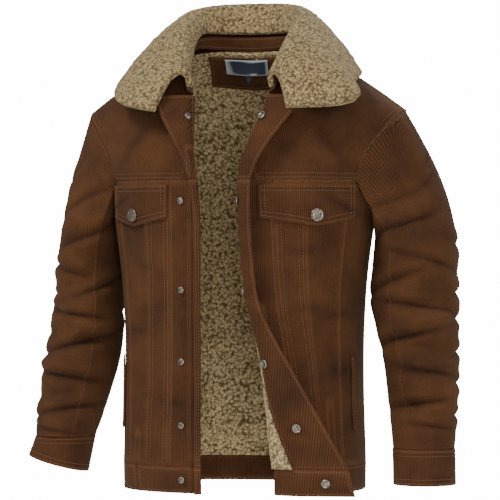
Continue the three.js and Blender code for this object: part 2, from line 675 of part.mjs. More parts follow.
const STAND_GAP = 0.4;
const STAND_TO_COLLAR = 5.2;
const STAND_WALL = 3;
function neckLine(s) {
  const side = s < 0 ? -1 : 1;
  const far = Math.abs(s);
  const split = 0.45;
  const p = far < split
    ? yokeTop(side, 'back', (far / split) * NECK_SHARE)
    : yokeTop(side, 'front', (1 - (far - split) / (1 - split)) * NECK_SHARE);
  const middle = V(0, -10, 60);
  return p.clone().addScaledVector(middle.sub(p).normalize(), 1.6).add(V(0, 0, STAND_GAP));
}
function standSurface(s, t) {
  const top = collarPoint('base', s).add(V(0, 0, -STAND_TO_COLLAR));
  return neckLine(s).lerp(top, t);
}

// The same grid with its outward side towards the neck
function towardsNeck(grid, middle) {
  const sign = grid.outs[middle][0].y < 0 ? 1 : -1;
  const outs = grid.outs.map((line) => line.map((out) => out.clone().multiplyScalar(sign)));
  return { points: grid.points, outs };
}

function makeCollar() {
  const stations = steps(-1, 1, 24);
  const across = [0, 1.2, 2, 2.6, 3.2, 4, 4.6, 5.4, 6].map((k) => k / 6);
  const collar = sample(collarSurface, stations, across);
  const last = stations.length - 1;
  const facing = towardsNeck(collar, last / 2);
  const ends = { start: 1, end: 1, low: SEAM, high: SEAM };
  add('collar_top', wall(facing, GAP, COLLAR_PILE), SHERPA);
  add('collar_under', wall(inset(facing, ends), -1.6, 0), SHELL);
  const stand = sample(standSurface, stations, [0, 1]);
  add('collar_stand', wall(towardsNeck(stand, last / 2), 0, STAND_WALL), SHELL);
}

// Neck patch with its bare label place and bare size tab, on the lining of the back yoke
const LINING_FACE = FACING_START + PILE;
function within(grid, cs, rs) {
  const blend = (lists, c, r) => {
    const c0 = Math.min(Math.floor(c), lists.length - 2);
    const r0 = Math.min(Math.floor(r), lists[0].length - 2);
    const low = mix(lists[c0][r0], lists[c0 + 1][r0], c - c0);
    return low.lerp(mix(lists[c0][r0 + 1], lists[c0 + 1][r0 + 1], c - c0), r - r0);
  };
  const make = (lists) => cs.map((c) => rs.map((r) => blend(lists, c, r)));
  return { points: make(grid.points), outs: make(grid.outs) };
}
// Distances from the lining's face, outward to the neck
const PATCH_FROM = 3.2;
const PATCH_WALL = 1.2;
const LABEL_FROM = 5.6;
const TAB_FROM = 4.9;
const LABEL_WALL = 0.8;
function makePatch() {
  const middle = (backUpper.points.length - 1) / 2;
  const top = YOKE_ROWS.length - 1;
  const onLining = (name, cs, rs, from, thick, material) => {
    add(name, wall(within(backUpper, cs, rs), -LINING_FACE - from - thick, -LINING_FACE - from), material);
  };
  const across = [-1, -0.5, 0, 0.5, 0.74].map((c) => middle + c);
  onLining('neck_patch', across, [top - 2.2, top - 1.6, top - 1, top - 0.2], PATCH_FROM, PATCH_WALL, SHELL);
  const label = [-0.66, 0, 0.36].map((c) => middle + c);
  onLining('neck_label', label, [top - 1.4, top - 1, top - 0.3], LABEL_FROM, LABEL_WALL, LABEL);
  onLining('size_tab', [middle - 0.22, middle - 0.03], [top - 1.85, top - 1.45], TAB_FROM, LABEL_WALL, LABEL);
}

// Chest pocket flaps with a point in the middle, on the panels below the yoke
const FLAP = { left: { from: 0.06, to: 0.67 }, right: { from: 0.14, to: 0.66 } };
const FLAP_HIGH = 0.985;
const FLAP_SIDE = 0.868;
const FLAP_POINT = 0.838;
const FLAP_BUTTON = 0.878;
const FLAP_FROM = 0.9;
const FLAP_WALL = 3;
function makeFlap(side) {
  const word = side > 0 ? 'left' : 'right';
  const place = FLAP[word];
  const surface = frontPanel(side);
  const grid = sample((t, w) => {
    const low = lerp(FLAP_POINT, FLAP_SIDE, Math.abs(2 * t - 1));
    return surface(lerp(place.from, place.to, t), lerp(low, FLAP_HIGH, w));
  }, steps(0, 1, 10), steps(0, 1, 4), side < 0);
  add(`pocket_flap_${word}`, wall(grid, FLAP_FROM, FLAP_FROM + FLAP_WALL), SHELL);
  const middle = (place.from + place.to) / 2;
  const at = surface(middle, FLAP_BUTTON);
  const out = grid.outs[5][1];
  add(`pocket_button_${word}`, disc(at, out, FLAP_FROM + FLAP_WALL + 0.4, BUTTON), METAL);
}

// Turned buttons and snaps: profiles as radius and height above the cloth
const BUTTON = [[0, 0], [10, 0], [10.3, 1.6], [9.2, 2.8], [7.2, 2.1], [6.4, 2.5], [3, 3], [0, 3.1]];
const STUD = [[0, 0], [5.2, 0], [5.6, 1.2], [4.2, 2.4], [2, 2.9], [0, 3]];
const SNAP_RING = [[0, 0], [6.6, 0], [6.9, 1.3], [5.8, 2.4], [4.2, 2.3], [3.4, 1.2], [0, 1.2]];
const TURN_SIDES = 14;
function disc(at, out, from, profile) {
  const geometry = new THREE.LatheGeometry(profile.map(([r, h]) => new THREE.Vector2(r, h)), TURN_SIDES);
  const turn = new THREE.Quaternion().setFromUnitVectors(V(0, 1, 0), out.clone().normalize());
  const spot = at.clone().addScaledVector(out, from);
  geometry.applyMatrix4(new THREE.Matrix4().compose(spot, turn, V(1, 1, 1)));
  geometry.deleteAttribute('normal');
  geometry.deleteAttribute('uv');
  return mergeVertices(geometry);
}

// Snaps: studs down the wearer's right front, ring snaps on the facing of the left front.
// column counts from the front edge and row from the waistband seam, on the panels' grid
const SNAPS = [
  { row: 8.35, stud: 7, ring: 1.9 },
  { row: 5.55, stud: 7, ring: 1.9 },
  { row: 3.3, stud: 7, ring: 1.6 },
  { row: 1.3, stud: 7, ring: 1.4 },
];
function makeSnaps() {
  const place = (grid, c, r, name, profile, from, outside) => {
    const spot = within(grid, [c], [r]);
    const out = spot.outs[0][0].normalize().multiplyScalar(outside);
    add(name, disc(spot.points[0][0], out, from, profile), METAL);
  };
  const seat = 0.4;
  const inside = FACING_START + CORD + seat;
  SNAPS.forEach((snap, i) => {
    place(cloth.right.lower, snap.stud, snap.row, `snap_stud_${i + 2}`, STUD, seat, 1);
    place(cloth.left.lower, snap.ring, snap.row, `snap_ring_${i + 2}`, SNAP_RING, inside, -1);
  });
  place(cloth.right.band, 7, 0.5, 'snap_stud_6', STUD, seat, 1);
  place(cloth.left.band, 1.2, 0.5, 'snap_ring_6', SNAP_RING, BAND_WALL + seat, -1);
  place(cloth.right.upper, 1.9, 4.2, 'snap_stud_1', STUD, inside, -1);
  place(cloth.left.upper, 1.9, 4.2, 'snap_ring_1', SNAP_RING, inside, -1);
}

// Hand pocket welts on the side panels
const WELT = { from: 0.74, to: 0.79, low: 0.13, high: 0.4 };
function makeWelt(side) {
  const grid = sample(frontPanel(side), [WELT.from, WELT.to], steps(WELT.low, WELT.high, 5), side < 0);
  add(`pocket_welt_${side > 0 ? 'left' : 'right'}`, wall(grid, 1.2, 3), SHELL);
}

const fronts = [1, -1].map((side) => makeFront(side));
const sleeves = [1, -1].map((side) => makeSleeve(side));
fronts.forEach((make) => make());
sleeves.forEach((make) => make());
const panelSides = { start: SEAM, end: SEAM, low: SEAM, high: SEAM };
const backLining = [-FACING_START - PILE, -FACING_START];
add('back_panel', wall(inset(backLower, { ...panelSides, high: 0.7 }), -CORD, 0), SHELL);
add('back_yoke', wall(inset(backUpper, { ...panelSides, start: 0.6, end: 0.6 }), -CORD, 0), SHELL);
add('waistband_back', wall(inset(backBand, panelSides), -BAND_WALL, 0), SHELL);
add('lining_back', wall(inset(backLower, { ...panelSides, high: SEAM }), ...backLining), SHERPA);
const backYokeSides = { low: SEAM, high: 0.5, start: 0.6, end: 0.6 };
add('lining_back_yoke', wall(inset(backUpper, backYokeSides), ...backLining), SHERPA);
makeCollar();
makePatch();
[1, -1].forEach(makeFlap);
[1, -1].forEach(makeWelt);
makeSnaps();

export default parts;
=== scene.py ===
# A corduroy trucker jacket with sherpa lining and collar, dressed over its frame.
# Metres. x runs to the wearer's left, y to the back, z up.
import bmesh
import bpy
import math
import numpy as np
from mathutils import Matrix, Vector, noise


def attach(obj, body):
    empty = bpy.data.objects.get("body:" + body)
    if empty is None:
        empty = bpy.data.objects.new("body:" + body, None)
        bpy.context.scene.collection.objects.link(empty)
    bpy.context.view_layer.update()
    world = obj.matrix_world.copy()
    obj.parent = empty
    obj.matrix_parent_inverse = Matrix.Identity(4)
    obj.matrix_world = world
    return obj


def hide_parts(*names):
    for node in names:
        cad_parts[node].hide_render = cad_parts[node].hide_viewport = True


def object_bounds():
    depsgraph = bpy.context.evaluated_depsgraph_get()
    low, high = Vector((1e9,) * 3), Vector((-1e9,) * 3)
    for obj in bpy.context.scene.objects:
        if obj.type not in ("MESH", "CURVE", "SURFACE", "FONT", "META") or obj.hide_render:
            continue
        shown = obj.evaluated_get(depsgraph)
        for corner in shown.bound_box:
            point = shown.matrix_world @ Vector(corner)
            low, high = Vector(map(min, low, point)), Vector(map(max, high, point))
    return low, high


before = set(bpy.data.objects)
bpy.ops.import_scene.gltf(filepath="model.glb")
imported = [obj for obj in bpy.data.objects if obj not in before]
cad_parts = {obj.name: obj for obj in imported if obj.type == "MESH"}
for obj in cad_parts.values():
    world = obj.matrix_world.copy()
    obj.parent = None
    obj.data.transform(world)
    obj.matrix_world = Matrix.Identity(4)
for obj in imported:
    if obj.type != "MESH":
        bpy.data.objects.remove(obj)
cad_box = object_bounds()

# Sizes of the cloth. Wales and curls are drawn a little coarser than fine cloth has them, to show
WALE = 0.0025
PILE_STEP = 0.0042
STITCH_LENGTH = 0.0030
STITCH_PITCH = 0.0042
STITCH_RADIUS = 0.00042
SEAM_INSET = 0.0035
SECOND_ROW = 0.0095
WELT_INSET = 0.0025
WEAR = 0.3

SHERPA = [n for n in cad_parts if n.startswith("lining") or n == "collar_top"]
METAL = [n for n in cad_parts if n.startswith(("snap_", "pocket_button"))]
LABELS = ["neck_label", "size_tab"]
CORDUROY = [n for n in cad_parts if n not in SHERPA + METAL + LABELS]


# Colours and nodes
def tint(code, alpha=1.0):
    channels = [int(code[i:i + 2], 16) / 255 for i in (1, 3, 5)]
    linear = [c / 12.92 if c <= 0.04045 else ((c + 0.055) / 1.055) ** 2.4 for c in channels]
    return (*linear, alpha)


def add_node(tree, kind, links=None, **settings):
    """Adds a node, sets its fields and sockets, and links its inputs."""
    node = tree.nodes.new(kind)
    for key, value in settings.items():
        if hasattr(node, key):
            setattr(node, key, value)
        else:
            node.inputs[key.replace("_", " ")].default_value = value
    for name, source in (links or {}).items():
        tree.links.new(source, node.inputs[name])
    return node


def new_material(name):
    material = bpy.data.materials.new(name)
    material.use_nodes = True
    tree = material.node_tree
    shader = tree.nodes["Principled BSDF"]
    return material, tree, shader


def ramp(tree, source, stops):
    node = add_node(tree, "ShaderNodeValToRGB", {"Fac": source})
    elements = node.color_ramp.elements
    for i, (place, code) in enumerate(stops):
        element = elements[i] if i < 2 else elements.new(place)
        element.position = place
        element.color = tint(code)
    return node.outputs["Color"]


def blend_colours(tree, kind, factor, a, b):
    node = add_node(tree, "ShaderNodeMix", data_type="RGBA", blend_type=kind)
    for source, index in ((factor, 0), (a, 6), (b, 7)):
        if isinstance(source, (float, tuple)):
            node.inputs[index].default_value = source
        else:
            tree.links.new(source, node.inputs[index])
    return node.outputs[2]


# Cotton corduroy, cut pile: soft raised wales whose furrows carry painted shade, worn pale where it folds
# at its edges, and painted shade in its creases
def corduroy():
    material, tree, shader = new_material("cotton_corduroy_brown")
    wale = add_node(tree, "ShaderNodeUVMap", uv_map="wales")
    split = add_node(tree, "ShaderNodeSeparateXYZ", {"Vector": wale.outputs["UV"]})
    phase = add_node(tree, "ShaderNodeMath", {0: split.outputs["X"]}, operation="MULTIPLY")
    phase.inputs[1].default_value = 2 * math.pi / WALE
    wave = add_node(tree, "ShaderNodeMath", {0: phase.outputs[0]}, operation="SINE")
    ridge = add_node(
        tree, "ShaderNodeMapRange", {"Value": wave.outputs[0]}, From_Min=-1.0, From_Max=0.7)
    place = add_node(tree, "ShaderNodeTexCoord").outputs["Object"]
    mottle = add_node(
        tree, "ShaderNodeTexNoise", {"Vector": place}, Scale=14.0, Detail=6.0, Roughness=0.6)
    fluff = add_node(
        tree, "ShaderNodeTexNoise", {"Vector": place}, Scale=520.0, Detail=3.0, Roughness=0.7)
    base = ramp(tree, mottle.outputs["Fac"], [(0.28, "#412612"), (0.72, "#654020")])
    # Painted shade: the furrows between the wales are darkened.
    painted_furrow_shade = ramp(tree, ridge.outputs[0], [(0.0, "#8f857c"), (0.75, "#ffffff")])
    furrow_shaded = blend_colours(tree, "MULTIPLY", 0.72, base, painted_furrow_shade)
    specks = ramp(tree, fluff.outputs["Fac"], [(0.3, "#c9bdb4"), (0.7, "#ffffff")])
    spotted = blend_colours(tree, "MULTIPLY", 0.7, furrow_shaded, specks)
    # Painted shade: the cloth is darkened in the creases and ripple hollows by how deep each point lies,
    # least on the swells beside them.
    crease_shade = add_node(tree, "ShaderNodeAttribute", attribute_name="crease_shade")
    crease_shade_tone = ramp(tree, crease_shade.outputs["Fac"], [(0.12, "#938880"), (0.75, "#ffffff"), (0.5, "#f1eeec")])
    crease_shaded = blend_colours(tree, "MULTIPLY", 1.0, spotted, crease_shade_tone)
    worn = add_node(tree, "ShaderNodeAttribute", attribute_name="wear")
    faded = blend_colours(tree, "MIX", worn.outputs["Fac"], crease_shaded, tint("#73492d"))
    tree.links.new(faded, shader.inputs["Base Color"])
    height = add_node(
        tree, "ShaderNodeMath", {0: ridge.outputs[0], 1: fluff.outputs["Fac"]}, operation="ADD")
    relief = add_node(
        tree, "ShaderNodeBump", {"Height": height.outputs[0]}, Strength=0.75, Distance=0.0006)
    pucker = add_node(
        tree, "ShaderNodeTexNoise", {"Vector": place}, Scale=46.0, Detail=4.0, Roughness=0.55)
    crumple = add_node(
        tree, "ShaderNodeBump", {"Height": pucker.outputs["Fac"], "Normal": relief.outputs["Normal"]},
        Strength=0.55, Distance=0.006)
    tree.links.new(crumple.outputs["Normal"], shader.inputs["Normal"])
    shader.inputs["Roughness"].default_value = 0.88
    shader.inputs["Specular IOR Level"].default_value = 0.22
    shader.inputs["Sheen Weight"].default_value = 0.17
    shader.inputs["Sheen Roughness"].default_value = 0.45
    shader.inputs["Sheen Tint"].default_value = tint("#a87c54")
    return material


# Polyester sherpa, curled pile: pale curl tips over deep olive brown gaps, a painted shade that follows
# how high the pile stands
def sherpa(name, deep, body, tip):
    material, tree, shader = new_material(name)
    pile = add_node(tree, "ShaderNodeAttribute", attribute_name="pile")
    place = add_node(tree, "ShaderNodeTexCoord").outputs["Object"]
    curls = add_node(
        tree, "ShaderNodeTexVoronoi", {"Vector": place}, Scale=1 / PILE_STEP, Randomness=1.0)
    fibres = add_node(
        tree, "ShaderNodeTexNoise", {"Vector": place}, Scale=620.0, Detail=4.0, Roughness=0.75)
    depth = add_node(tree, "ShaderNodeMath", {0: curls.outputs["Distance"]}, operation="MULTIPLY")
    depth.inputs[1].default_value = -0.72
    raised = add_node(tree, "ShaderNodeMath", {0: pile.outputs["Fac"]}, operation="MULTIPLY")
    raised.inputs[1].default_value = 0.3
    together = add_node(
        tree, "ShaderNodeMath", {0: raised.outputs[0], 1: depth.outputs[0]}, operation="ADD")
    rough = add_node(
        tree, "ShaderNodeMath", {0: fibres.outputs["Fac"], 1: together.outputs[0]}, operation="ADD")
    # Painted shade: low pile and the gaps between curls take the dark colour, the raised tips the pale
    # one.
    colour = ramp(tree, rough.outputs[0], [(0.02, deep), (0.62, tip), (0.3, body)])
    tree.links.new(colour, shader.inputs["Base Color"])
    relief = add_node(
        tree, "ShaderNodeBump", {"Height": rough.outputs[0]}, Strength=0.9, Distance=0.0016)
    tree.links.new(relief.outputs["Normal"], shader.inputs["Normal"])
    shader.inputs["Roughness"].default_value = 0.95
    shader.inputs["Specular IOR Level"].default_value = 0.15
    shader.inputs["Sheen Weight"].default_value = 0.3
    shader.inputs["Sheen Tint"].default_value = tint("#e0cfa8")
    return material


# Pressed brass snaps and buttons, plated: dull grey metal with dark tarnish
def plated(name, light, dark, roughness):
    material, tree, shader = new_material(name)
    place = add_node(tree, "ShaderNodeTexCoord").outputs["Object"]
    tarnish = add_node(tree, "ShaderNodeTexNoise", {"Vector": place}, Scale=420.0, Detail=4.0)
    colour = ramp(tree, tarnish.outputs["Fac"], [(0.35, dark), (0.62, light)])
    tree.links.new(colour, shader.inputs["Base Color"])
    shader.inputs["Metallic"].default_value = 0.9
    shader.inputs["Roughness"].default_value = roughness
    return material


# Damask woven polyester label: flat navy ground with a fine weave and a plain pale border
def woven_label():
    material, tree, shader = new_material("woven_label_navy")
    place = add_node(tree, "ShaderNodeTexCoord").outputs["Object"]
    weave = add_node(tree, "ShaderNodeTexWave", {"Vector": place}, Scale=700.0, Distortion=0.4)
    edge = add_node(tree, "ShaderNodeAttribute", attribute_name="border")
    ground = ramp(tree, weave.outputs["Fac"], [(0.0, "#161d27"), (1.0, "#273140")])
    colour = blend_colours(tree, "MIX", edge.outputs["Fac"], ground, tint("#b9c0c6"))
    tree.links.new(colour, shader.inputs["Base Color"])
    shader.inputs["Roughness"].default_value = 0.6
    return material


# Twisted polyester topstitching thread, a shade paler than the cloth
def thread():
    material, tree, shader = new_material("topstitch_thread_tan")
    place = add_node(tree, "ShaderNodeTexCoord").outputs["Object"]
    twist = add_node(tree, "ShaderNodeTexNoise", {"Vector": place}, Scale=900.0)
    colour = ramp(tree, twist.outputs["Fac"], [(0.3, "#583823"), (0.7, "#7b5334")])
    tree.links.new(colour, shader.inputs["Base Color"])
    shader.inputs["Roughness"].default_value = 0.7
    return material


CLOTH = corduroy()
# Each sherpa's first colour is the painted shade in the gaps between curls.
LINING_PILE = sherpa("sherpa_pile_lining", "#54452d", "#a08c65", "#d0bd92")
COLLAR_PILE = sherpa("sherpa_pile_collar", "#4c3e29", "#8b7752", "#bba67d")
STUD_METAL = plated("antique_plated_snap", "#91857a", "#40362f", 0.42)
RING_METAL = plated("nickel_ring_snap", "#a9a091", "#575045", 0.36)
LABEL = woven_label()
THREAD = thread()


# Sleeve axes, worked out from the frame's own sleeves in bands of height
SLEEVE_TOP = -0.25
AXIS_BANDS = 12
BAND_SHARE = 0.6


def node_object(name):
    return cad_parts[name]


def sleeve_axis(word):
    points = np.array([v.co for v in node_object(f"sleeve_top_{word}").data.vertices]
                      + [v.co for v in node_object(f"sleeve_under_{word}").data.vertices])
    heights = np.linspace(points[:, 2].min(), SLEEVE_TOP, AXIS_BANDS)
    half_band = (heights[1] - heights[0]) * BAND_SHARE
    middles = []
    for z in heights:
        near = points[np.abs(points[:, 2] - z) < half_band]
        middles.append([(near[:, i].min() + near[:, i].max()) / 2 for i in (0, 1)])
    middles = np.array(middles)
    return lambda z: (np.interp(z, heights, middles[:, 0]), np.interp(z, heights, middles[:, 1]))


AXES = {word: sleeve_axis(word) for word in ("left", "right")}


# Creases of the body: front (-1) or back (1), x and z of the middle, half its length,
# half its width, lean in degrees from level, and depth, where outward is positive. Metres
BODY_CREASES = [
    (-1, -0.150, -0.150, 0.060, 0.014, 52, -0.0018), (-1, -0.175, -0.235, 0.050, 0.010, 30, -0.0030),
    (-1, -0.110, -0.330, 0.045, 0.010, -20, -0.0022), (-1, -0.140, -0.420, 0.060, 0.014, 14, -0.0026),
    (-1, -0.095, -0.520, 0.050, 0.012, -12, -0.0022), (-1, -0.150, -0.585, 0.055, 0.011, 8, -0.0024),
    (-1, 0.150, -0.150, 0.060, 0.014, -50, -0.0018), (-1, 0.172, -0.240, 0.050, 0.010, -32, -0.0032),
    (-1, 0.120, -0.300, 0.055, 0.012, 16, -0.0025), (-1, 0.140, -0.390, 0.060, 0.013, -14, -0.0030),
    (-1, 0.150, -0.480, 0.055, 0.012, 18, -0.0026), (-1, 0.110, -0.560, 0.045, 0.010, -10, -0.0024),
    (-1, 0.100, -0.240, 0.030, 0.009, 70, 0.0020), (-1, -0.080, -0.250, 0.030, 0.009, -70, 0.0018),
    (1, -0.110, -0.300, 0.090, 0.020, 24, -0.0026), (1, 0.120, -0.330, 0.080, 0.018, -28, -0.0024),
    (1, 0.020, -0.430, 0.100, 0.022, 8, -0.0022), (1, -0.130, -0.510, 0.070, 0.017, -16, -0.0022),
    (1, 0.110, -0.560, 0.080, 0.016, 12, -0.0020), (1, 0.000, -0.150, 0.090, 0.017, -4, -0.0016),
]
# Creases of a sleeve: z, turn in degrees (0 faces the body, 90 front, 180 outward, 270 back), half its
# reach in degrees around, half its width in metres, slant in metres per degree, and depth
SLEEVE_CREASES = [
    (-0.180, 130, 60, 0.014, 0.00050, -0.0060), (-0.222, 95, 75, 0.016, 0.00055, -0.0080),
    (-0.270, 85, 85, 0.017, 0.00045, -0.0100), (-0.322, 120, 85, 0.015, -0.00030, -0.0095),
    (-0.352, 65, 80, 0.014, 0.00040, -0.0100), (-0.388, 105, 95, 0.014, -0.00015, -0.0130),
    (-0.432, 82, 95, 0.015, 0.00025, -0.0140), (-0.482, 102, 95, 0.014, -0.00012, -0.0130),
    (-0.530, 84, 90, 0.012, 0.00014, -0.0115), (-0.562, 112, 80, 0.009, -0.00012, -0.0070),
    (-0.300, 195, 65, 0.013, -0.00030, -0.0080), (-0.368, 190, 60, 0.012, 0.00025, -0.0095),
    (-0.410, 200, 60, 0.012, -0.00022, -0.0095), (-0.456, 190, 60, 0.012, 0.00020, -0.0095),
    (-0.506, 205, 60, 0.012, -0.00020, -0.0095), (-0.548, 190, 55, 0.010, 0.00014, -0.0070),
    (-0.255, 280, 75, 0.018, -0.00035, -0.0095), (-0.320, 255, 75, 0.016, 0.00030, -0.0105),
    (-0.400, 290, 75, 0.016, -0.00025, -0.0110), (-0.480, 262, 75, 0.015, 0.00025, -0.0105),
    (-0.545, 285, 70, 0.012, -0.00018, -0.0080),
]


# How far the two sleeves' creases differ in height, how strongly and how widely the cloth swells
# beside a crease, how much of a crease reaches a cuff, the share of the table's depth on the body, and
# the depths that show as fully shaded
SLEEVE_SHIFT = 0.006
SWELL = 0.5
SWELL_REACH = 2.6
CUFF_SHARE = 0.2
BODY_DEPTH = 1.5
DEEP_SLEEVE = 0.008
DEEP_BODY = 0.007

# Soft unevenness of the body: waves per metre across and up, and where each starts
RIPPLES = [(61, 37, 0.0), (-43, 71, 1.3), (23, -97, 0.7), (88, -52, 2.1), (-17, 118, 4.0)]
RIPPLE_DEPTH = 0.0024
RIPPLE_FADE = 0.09
# How much painted shade the ripples add to the corduroy's colour
RIPPLE_SHADE = 0.12

# Fuller back neck, so that yoke and lining meet the stand
BACK_NECK = ["back_yoke", "lining_back_yoke", *LABELS, "neck_patch"]
NECK_FILL = 0.0085
NECK_FILL_HALF = 0.075
NECK_FILL_FROM = -0.06
NECK_FILL_BLEND = 0.05

# Front corners of the collar's leaves: where the draw begins, and how far it goes
CORNER_FROM = 0.095
CORNER_REACH = 0.06
CORNER_AHEAD = 0.065
CORNER_BLEND = 0.045
CORNER_OUT_LEFT = 0.026
CORNER_OUT_RIGHT = 0.012
CORNER_FALL = -0.004


def hump(t):
    return np.where(np.abs(t) < 1, (1 - t * t) ** 2, 0.0)


def valley(t):
    return np.maximum(0.0, 1 - np.abs(t)) ** 1.5


def word_of(name):
    return name.rsplit("_", 1)[1] if name.startswith(("sleeve", "cuff")) else None


def leaf_corner(points):
    """Draws the front corners of the collar's leaves outward to a point."""
    side = np.sign(points[:, 0])
    far = np.clip((np.abs(points[:, 0]) - CORNER_FROM) / CORNER_REACH, 0, 1)
    ahead = np.clip((-points[:, 1] - CORNER_AHEAD) / CORNER_BLEND, 0, 1)
    drawn = np.where(side > 0, CORNER_OUT_LEFT, CORNER_OUT_RIGHT) * far * ahead
    return np.stack([side * drawn, np.zeros(len(points)), CORNER_FALL * far * ahead], axis=1)


def crease(points, name):
    """Moves points by the creases, layers together. Returns them and how deep each one lies, which the
    corduroy's colour takes as painted shade.
    """
    moved = points.copy()
    deepness = np.zeros(len(points))
    word = word_of(name)
    if word:
        side = 1 if word == "left" else -1
        ax, ay = AXES[word](points[:, 2])
        dx, dy = side * (points[:, 0] - ax), points[:, 1] - ay
        turn = np.degrees(np.arctan2(-dy, -dx)) % 360
        far = np.maximum(np.hypot(dx, dy), 1e-6)
        depth = np.zeros(len(points))
        for z, middle, around, tall, slant, deep in SLEEVE_CREASES:
            apart = (turn - middle + 540) % 360 - 180
            off = (points[:, 2] - z - SLEEVE_SHIFT * side - side * slant * apart) / tall
            depth += deep * hump(apart / around) * (valley(off) - SWELL * hump(off / SWELL_REACH))
        if name.startswith("cuff"):
            depth *= CUFF_SHARE
        moved[:, 0] += side * dx / far * depth
        moved[:, 1] += dy / far * depth
        return moved, depth / DEEP_SLEEVE
    for face, x, z, long, wide, lean, deep in BODY_CREASES:
        a = math.radians(lean)
        dx, dz = points[:, 0] - x, points[:, 2] - z
        along = dx * math.cos(a) + dz * math.sin(a)
        across = -dx * math.sin(a) + dz * math.cos(a)
        here = np.sign(points[:, 1]) == face
        depth = here * BODY_DEPTH * deep * hump(along / long) * valley(across / wide)
        moved[:, 1] += face * depth
        deepness += depth / DEEP_BODY
    if name.startswith(("collar_top", "collar_under")):
        moved += leaf_corner(points)
    if name in BACK_NECK:
        near = np.clip((points[:, 2] - NECK_FILL_FROM) / NECK_FILL_BLEND, 0, 1)
        moved[:, 1] += NECK_FILL * near * hump(points[:, 0] / NECK_FILL_HALF)
    x, z = points[:, 0], points[:, 2]
    waves = sum(np.sin(kx * x + kz * z + start) for kx, kz, start in RIPPLES) / len(RIPPLES)
    fade = np.clip(np.abs(points[:, 1]) / RIPPLE_FADE, 0, 1) ** 2
    moved[:, 1] += np.sign(points[:, 1]) * RIPPLE_DEPTH * waves * fade
    # The second value also carries the ripples' painted shade.
    return moved, deepness + RIPPLE_SHADE * waves * fade


# Round sizes that the wales are laid out on: sleeves, and an oval for the chest
SLEEVE_RADIUS = 0.058
SLEEVE_LEAN = 0.42
CHEST_ACROSS = 0.185
CHEST_DEEP = 0.145
CHEST_RADIUS = 0.165


def wale_place(points, name):
    """Where a point lies on its cloth: across the wales and along them."""
    word = word_of(name)
    if word:
        ax, ay = AXES[word](points[:, 2])
        lean = SLEEVE_LEAN * (1 if word == "left" else -1) * (0 if name.startswith("cuff") else 1)
        u = np.arctan2(points[:, 1] - ay, points[:, 0] - ax) * SLEEVE_RADIUS + lean * points[:, 2]
        return np.stack([u, points[:, 2]], axis=1)
    if name.startswith("collar_under"):
        return points[:, [0, 2]]
    u = np.arctan2(points[:, 0] / CHEST_ACROSS, np.abs(points[:, 1]) / CHEST_DEEP) * CHEST_RADIUS
    return np.stack([u, points[:, 2]], axis=1)


# Fine meshes over the frame's solids. A face with an edge shorter than RIM_EDGE is part of a rim
WELD = 2e-5
RIM_EDGE = 0.0095
RIM_ANGLE = math.radians(52)
JOIN_BEND = math.radians(50)
JOIN_SKEW = math.radians(70)


def welded(name):
    """A frame node's loose triangles as one merged mesh."""
    mesh = bmesh.new()
    mesh.from_mesh(node_object(name).data)
    bmesh.ops.remove_doubles(mesh, verts=mesh.verts, dist=WELD)
    return mesh


def rounded(mesh, name, levels):
    """Makes a piece of a merged mesh and finishes it by subdivision."""
    data = bpy.data.meshes.new(name)
    mesh.to_mesh(data)
    mesh.free()
    piece = bpy.data.objects.new(name, data)
    bpy.context.collection.objects.link(piece)
    smoother = piece.modifiers.new("smoother", "SUBSURF")
    smoother.levels = smoother.render_levels = levels
    done = bpy.data.meshes.new_from_object(piece.evaluated_get(bpy.context.evaluated_depsgraph_get()))
    piece.modifiers.clear()
    piece.data = done
    return piece


def refined(name, levels):
    mesh = welded(name)
    bmesh.ops.join_triangles(
        mesh, faces=mesh.faces, angle_face_threshold=JOIN_BEND, angle_shape_threshold=JOIN_SKEW)
    layer = mesh.edges.layers.float.new("crease_edge")
    for face in mesh.faces:
        face.material_index = 1 if min(e.calc_length() for e in face.edges) < RIM_EDGE else 0
        face.smooth = True
    for edge in mesh.edges:
        if len(edge.link_faces) == 2 and edge.calc_face_angle() > RIM_ANGLE:
            edge[layer] = 1.0
    return rounded(mesh, name + "_cloth", levels)


def coordinates(mesh):
    flat = np.empty(len(mesh.vertices) * 3)
    mesh.vertices.foreach_get("co", flat)
    return flat.reshape(-1, 3)


def write_coordinates(mesh, points):
    mesh.vertices.foreach_set("co", points.ravel())
    mesh.update()


def write_attribute(mesh, name, values):
    layer = mesh.attributes.new(name, "FLOAT", "POINT")
    layer.data.foreach_set("value", np.asarray(values, dtype=np.float32))


def write_wales(mesh, places):
    layer = mesh.uv_layers.new(name="wales")
    index = np.empty(len(mesh.loops), dtype=np.int32)
    mesh.loops.foreach_get("vertex_index", index)
    layer.data.foreach_set("uv", places[index].astype(np.float32).ravel())


def rim_vertices(mesh):
    """One for each vertex where a broad side meets a rim, else nought."""
    faces_of = {}
    for face in mesh.polygons:
        for key in face.edge_keys:
            faces_of.setdefault(key, []).append(face.material_index)
    worn = np.zeros(len(mesh.vertices))
    for key, kinds in faces_of.items():
        if len(set(kinds)) == 2:
            worn[list(key)] = 1.0
    return worn


def declare(piece, name):
    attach(piece, "root")
    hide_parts(name)
    low, high = np.min(coordinates(piece.data), axis=0), np.max(coordinates(piece.data), axis=0)


def set_material(piece, material):
    piece.data.materials.clear()
    piece.data.materials.append(material)
    piece.data.polygons.foreach_set("material_index", [0] * len(piece.data.polygons))


# Shell pieces in corduroy, with their levels of subdivision
FINE = 3
MIDDLE = 2


